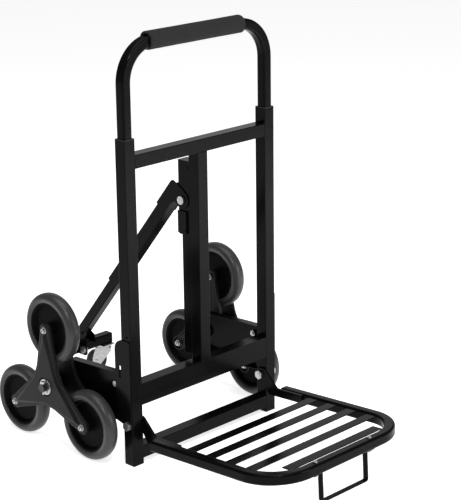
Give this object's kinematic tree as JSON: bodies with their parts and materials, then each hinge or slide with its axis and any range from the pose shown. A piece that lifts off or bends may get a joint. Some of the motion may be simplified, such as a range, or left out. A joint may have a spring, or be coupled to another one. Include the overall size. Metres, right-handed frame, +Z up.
{
  "type": "stair climbing trolley",
  "caption": "Foldable stair climbing hand truck with tri-star wheels, telescopic handle, folding toe platform and a telescopic support leg on swivel casters.",
  "frame": {"origin": "middle of the footprint, on the ground", "axes": "+Z up; -Y towards the toe platform; +Y towards the wheel stars and the support leg; +X across, to the right when facing +Y"},
  "size_m": [0.6065, 0.9039, 0.955],
  "materials": {
    "frame_paint": "gloss",
    "star_paint": "satin",
    "bare_steel": "satin",
    "zinc_steel": "satin",
    "tyre": "matte",
    "rim_plastic": "satin",
    "caster_rubber": "matte",
    "black_plastic": "satin",
    "grip_foam": "matte"
  },
  "bodies": {
    "frame": {"upright_left": "frame_paint", "upright_right": "frame_paint", "top_crossbar": "frame_paint", "mid_crossbar": "frame_paint", "bottom_crossbar": "frame_paint", "centre_post": "frame_paint", "leg_rail": "frame_paint", "leg_bracket": "frame_paint", "leg_stop_block": "frame_paint", "guide_bushes": "black_plastic", "upright_feet": "black_plastic", "wheel_bracket_left": "frame_paint", "wheel_bracket_right": "frame_paint", "axle_carrier_left": "frame_paint", "axle_carrier_right": "frame_paint", "stub_axles": "bare_steel", "carrier_bolts": "zinc_steel", "axle_washers": "zinc_steel", "cotter_pins": "zinc_steel", "platform_pivot_bolts": "zinc_steel", "leg_pivot_bolt": "zinc_steel"},
    "handle": {"handle_tube": "frame_paint", "handle_grip": "grip_foam"},
    "leg": {"leg_outer_tube": "frame_paint", "leg_clevis": "frame_paint"},
    "leg_extension": {"leg_inner_tube": "frame_paint", "leg_foot_bracket": "frame_paint", "leg_foot_bolt": "zinc_steel", "caster_bar": "frame_paint", "caster_bar_caps": "black_plastic", "caster_plates": "zinc_steel"},
    "platform": {"platform_loop": "frame_paint", "platform_lugs": "frame_paint", "platform_slats": "frame_paint", "foot_loop": "frame_paint", "foot_loop_screws": "zinc_steel"},
    "caster_left": {"caster_fork_left": "zinc_steel"},
    "caster_roller_left": {"caster_wheel_left": "caster_rubber"},
    "star_left": {"star_outer_plate_left": "star_paint", "star_inner_plate_left": "star_paint", "star_hub_left": "frame_paint", "star_bolts_left": "zinc_steel"},
    "wheel_top_left": {"tyre_top_left": "tyre", "rim_top_left": "rim_plastic"},
    "wheel_rear_left": {"tyre_rear_left": "tyre", "rim_rear_left": "rim_plastic"},
    "wheel_front_left": {"tyre_front_left": "tyre", "rim_front_left": "rim_plastic"},
    "caster_right": {"caster_fork_right": "zinc_steel"},
    "caster_roller_right": {"caster_wheel_right": "caster_rubber"},
    "star_right": {"star_outer_plate_right": "star_paint", "star_inner_plate_right": "star_paint", "star_hub_right": "frame_paint", "star_bolts_right": "zinc_steel"},
    "wheel_top_right": {"tyre_top_right": "tyre", "rim_top_right": "rim_plastic"},
    "wheel_rear_right": {"tyre_rear_right": "tyre", "rim_rear_right": "rim_plastic"},
    "wheel_front_right": {"tyre_front_right": "tyre", "rim_front_right": "rim_plastic"}
  },
  "joints": [
    {"name": "handle_slide", "type": "slide", "parent": "frame", "child": "handle", "axis": [0, 0, 1], "range_m": [-0.1, 0.15]},
    {"name": "leg_fold", "type": "hinge", "parent": "frame", "child": "leg", "pos_m": [0, 0.025, 0.558], "axis": [1, 0, 0], "range_deg": [-39.4, 0]},
    {"name": "leg_slide", "type": "slide", "parent": "leg", "child": "leg_extension", "axis": [0, -0.6347, 0.7727], "range_m": [-0.03, 0.14]},
    {"name": "platform_fold", "type": "hinge", "parent": "frame", "child": "platform", "pos_m": [0, -0.011, 0.094], "axis": [-1, 0, 0], "range_deg": [0, 87]},
    {"name": "caster_swivel_left", "type": "hinge", "parent": "leg_extension", "child": "caster_left", "pos_m": [-0.077, 0.416, 0.0895], "axis": [0, 0, 1], "continuous": true},
    {"name": "caster_spin_left", "type": "hinge", "parent": "caster_left", "child": "caster_roller_left", "pos_m": [-0.06427, 0.42873, 0.055], "axis": [0.7071, -0.7071, 0], "continuous": true},
    {"name": "star_turn_left", "type": "hinge", "parent": "frame", "child": "star_left", "pos_m": [-0.2565, 0.1972, 0.1471], "axis": [1, 0, 0], "continuous": true},
    {"name": "wheel_top_left_spin", "type": "hinge", "parent": "star_left", "child": "wheel_top_left", "pos_m": [-0.258, 0.1972, 0.2805], "axis": [1, 0, 0], "continuous": true},
    {"name": "wheel_rear_left_spin", "type": "hinge", "parent": "star_left", "child": "wheel_rear_left", "pos_m": [-0.258, 0.31273, 0.0804], "axis": [1, 0, 0], "continuous": true},
    {"name": "wheel_front_left_spin", "type": "hinge", "parent": "star_left", "child": "wheel_front_left", "pos_m": [-0.258, 0.08167, 0.0804], "axis": [1, 0, 0], "continuous": true},
    {"name": "caster_swivel_right", "type": "hinge", "parent": "leg_extension", "child": "caster_right", "pos_m": [0.077, 0.416, 0.0895], "axis": [0, 0, 1], "continuous": true},
    {"name": "caster_spin_right", "type": "hinge", "parent": "caster_right", "child": "caster_roller_right", "pos_m": [0.06427, 0.42873, 0.055], "axis": [0.7071, 0.7071, 0], "continuous": true},
    {"name": "star_turn_right", "type": "hinge", "parent": "frame", "child": "star_right", "pos_m": [0.263, 0.1972, 0.1471], "axis": [1, 0, 0], "continuous": true},
    {"name": "wheel_top_right_spin", "type": "hinge", "parent": "star_right", "child": "wheel_top_right", "pos_m": [0.2645, 0.1972, 0.2805], "axis": [1, 0, 0], "continuous": true},
    {"name": "wheel_rear_right_spin", "type": "hinge", "parent": "star_right", "child": "wheel_rear_right", "pos_m": [0.2645, 0.31273, 0.0804], "axis": [1, 0, 0], "continuous": true},
    {"name": "wheel_front_right_spin", "type": "hinge", "parent": "star_right", "child": "wheel_front_right", "pos_m": [0.2645, 0.08167, 0.0804], "axis": [1, 0, 0], "continuous": true}
  ]
}
